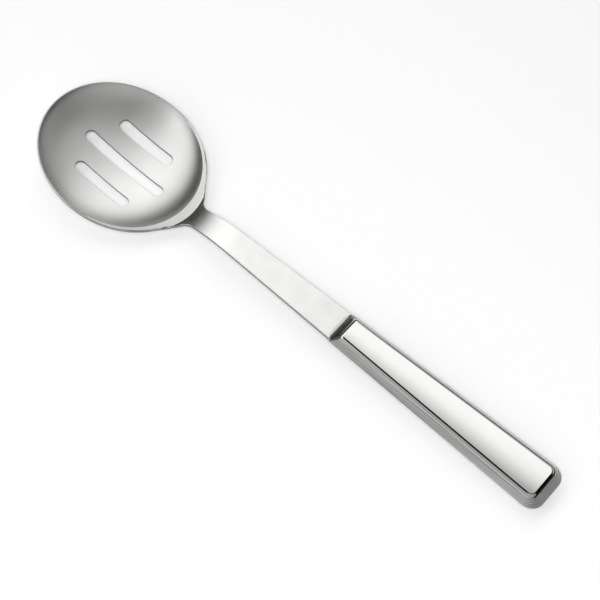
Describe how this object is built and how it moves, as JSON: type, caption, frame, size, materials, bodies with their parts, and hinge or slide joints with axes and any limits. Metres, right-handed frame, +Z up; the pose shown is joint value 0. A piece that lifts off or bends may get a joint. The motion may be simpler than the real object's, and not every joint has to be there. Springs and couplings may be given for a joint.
{
  "type": "slotted serving spoon",
  "caption": "Long stainless serving spoon: shallow oval bowl pierced by round-ended slots, flat rising stem and a hollow tapered two-shell handle.",
  "frame": {"origin": "middle of the bounding box, on the table that the spoon lies on", "axes": "+X from the bowl's tip to the handle's end, +Y across the spoon, +Z up out of the dish"},
  "size_m": [0.299, 0.0728, 0.0164],
  "materials": {
    "satin_blank": "satin-polished stainless sheet, rim and edges ground bright",
    "polished_shell": "polished stainless, flat panels close to a mirror",
    "ground_weld": "weld ground flush and polished with the shells"
  },
  "bodies": {
    "root": {"spoon_blank": "satin_blank", "handle_upper_shell": "polished_shell", "handle_lower_shell": "polished_shell", "seam_weld": "ground_weld", "mouth_weld": "ground_weld"}
  },
  "joints": []
}
